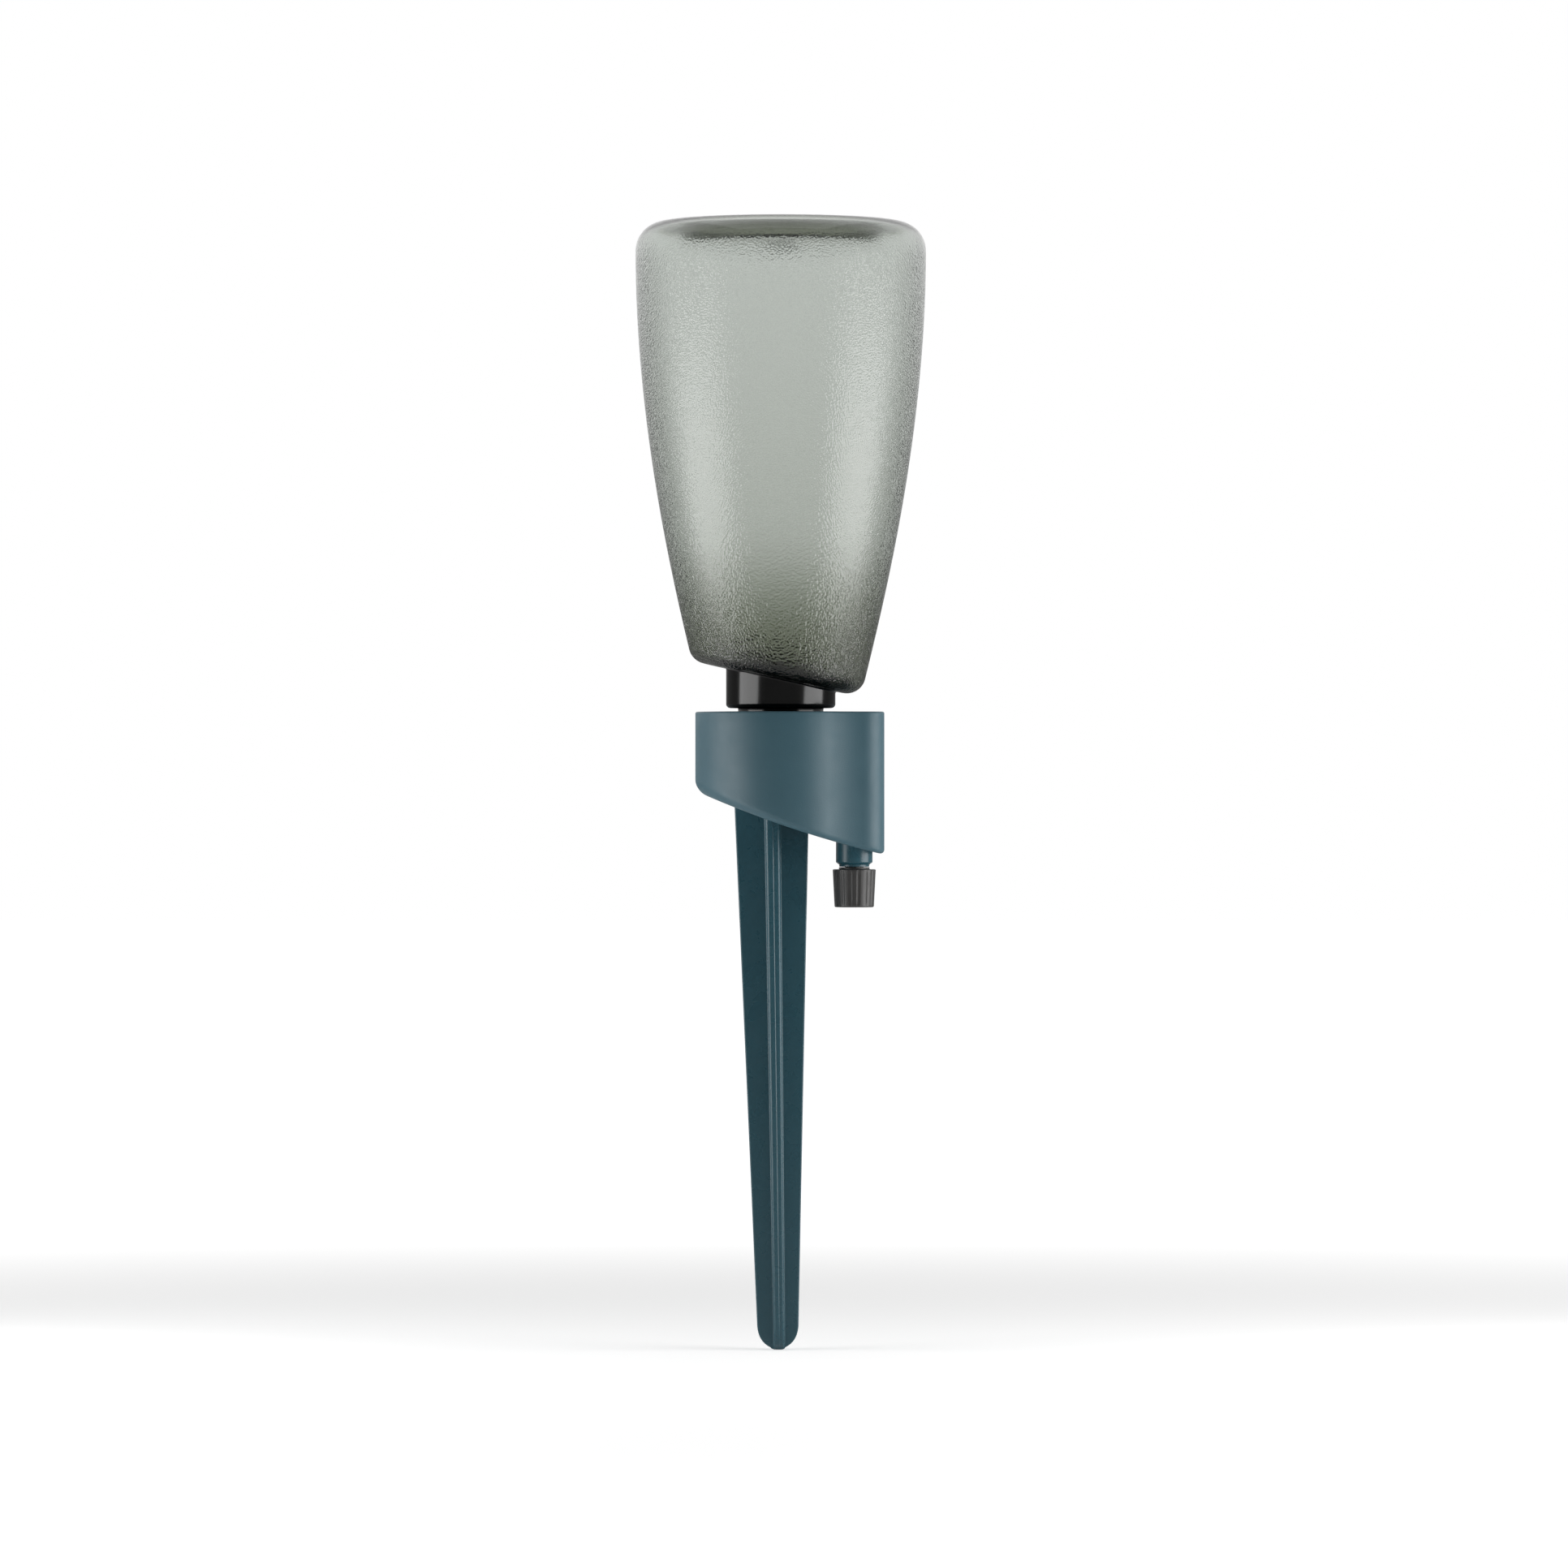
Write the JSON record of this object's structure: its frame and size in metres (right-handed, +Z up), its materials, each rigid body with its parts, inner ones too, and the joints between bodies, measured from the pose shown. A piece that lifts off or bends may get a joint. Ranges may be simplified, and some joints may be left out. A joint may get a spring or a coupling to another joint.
{
  "type": "drip watering spike",
  "caption": "Upturned smoke-grey bottle screwed into a slanted, hollow head on a cross-section soil stake, with a small needle valve and knob under the head's nose that sets the drip.",
  "frame": {"origin": "on the bottle's axis at the level of the soil that the stake stands in, 110 mm above the stake's tip", "axes": "+Z up along the bottle's axis, +X towards the drip valve"},
  "size_m": [0.085, 0.085, 0.33],
  "materials": {
    "bottle_plastic": "smoke-grey translucent, fine leather grain on the outside",
    "head_plastic": "satin, finely blasted",
    "stake_plastic": "semi-gloss, as moulded",
    "knob_plastic": "satin",
    "seal_rubber": "matt silicone",
    "oring_rubber": "matt",
    "strainer_plastic": "as moulded",
    "needle_plastic": "as moulded"
  },
  "bodies": {
    "spike": {"head_shell": "head_plastic", "socket_cover": "head_plastic", "inlet_strainer": "strainer_plastic", "needle_seat": "seal_rubber", "stake": "stake_plastic"},
    "mouth_seal": {"neck_washer": "seal_rubber"},
    "tank": {"bottle": "bottle_plastic"},
    "needle_seal": {"valve_oring": "oring_rubber"},
    "valve": {"valve_needle": "needle_plastic", "valve_knob": "knob_plastic"}
  },
  "joints": [
    {"name": "bottle_lift", "type": "slide", "parent": "spike", "child": "mouth_seal", "axis": [0, 0, 1], "range_m": [0, 0.009]},
    {"name": "bottle_turn", "type": "hinge", "parent": "mouth_seal", "child": "tank", "pos_m": [0, 0, 0.065], "axis": [0, 0, 1], "range_deg": [0, 1080]},
    {"name": "valve_slide", "type": "slide", "parent": "spike", "child": "needle_seal", "axis": [0, 0, 1], "range_m": [-0.00187, 0]},
    {"name": "valve_turn", "type": "hinge", "parent": "needle_seal", "child": "valve", "pos_m": [0.0215, 0, 0.025], "axis": [0, 0, 1], "range_deg": [-540, 0]}
  ],
  "couplings": [
    {"joint": "bottle_lift", "follows": "bottle_turn", "m_per_rad": 0.00047746},
    {"joint": "valve_turn", "follows": "valve_slide", "rad_per_m": 5026.5}
  ]
}
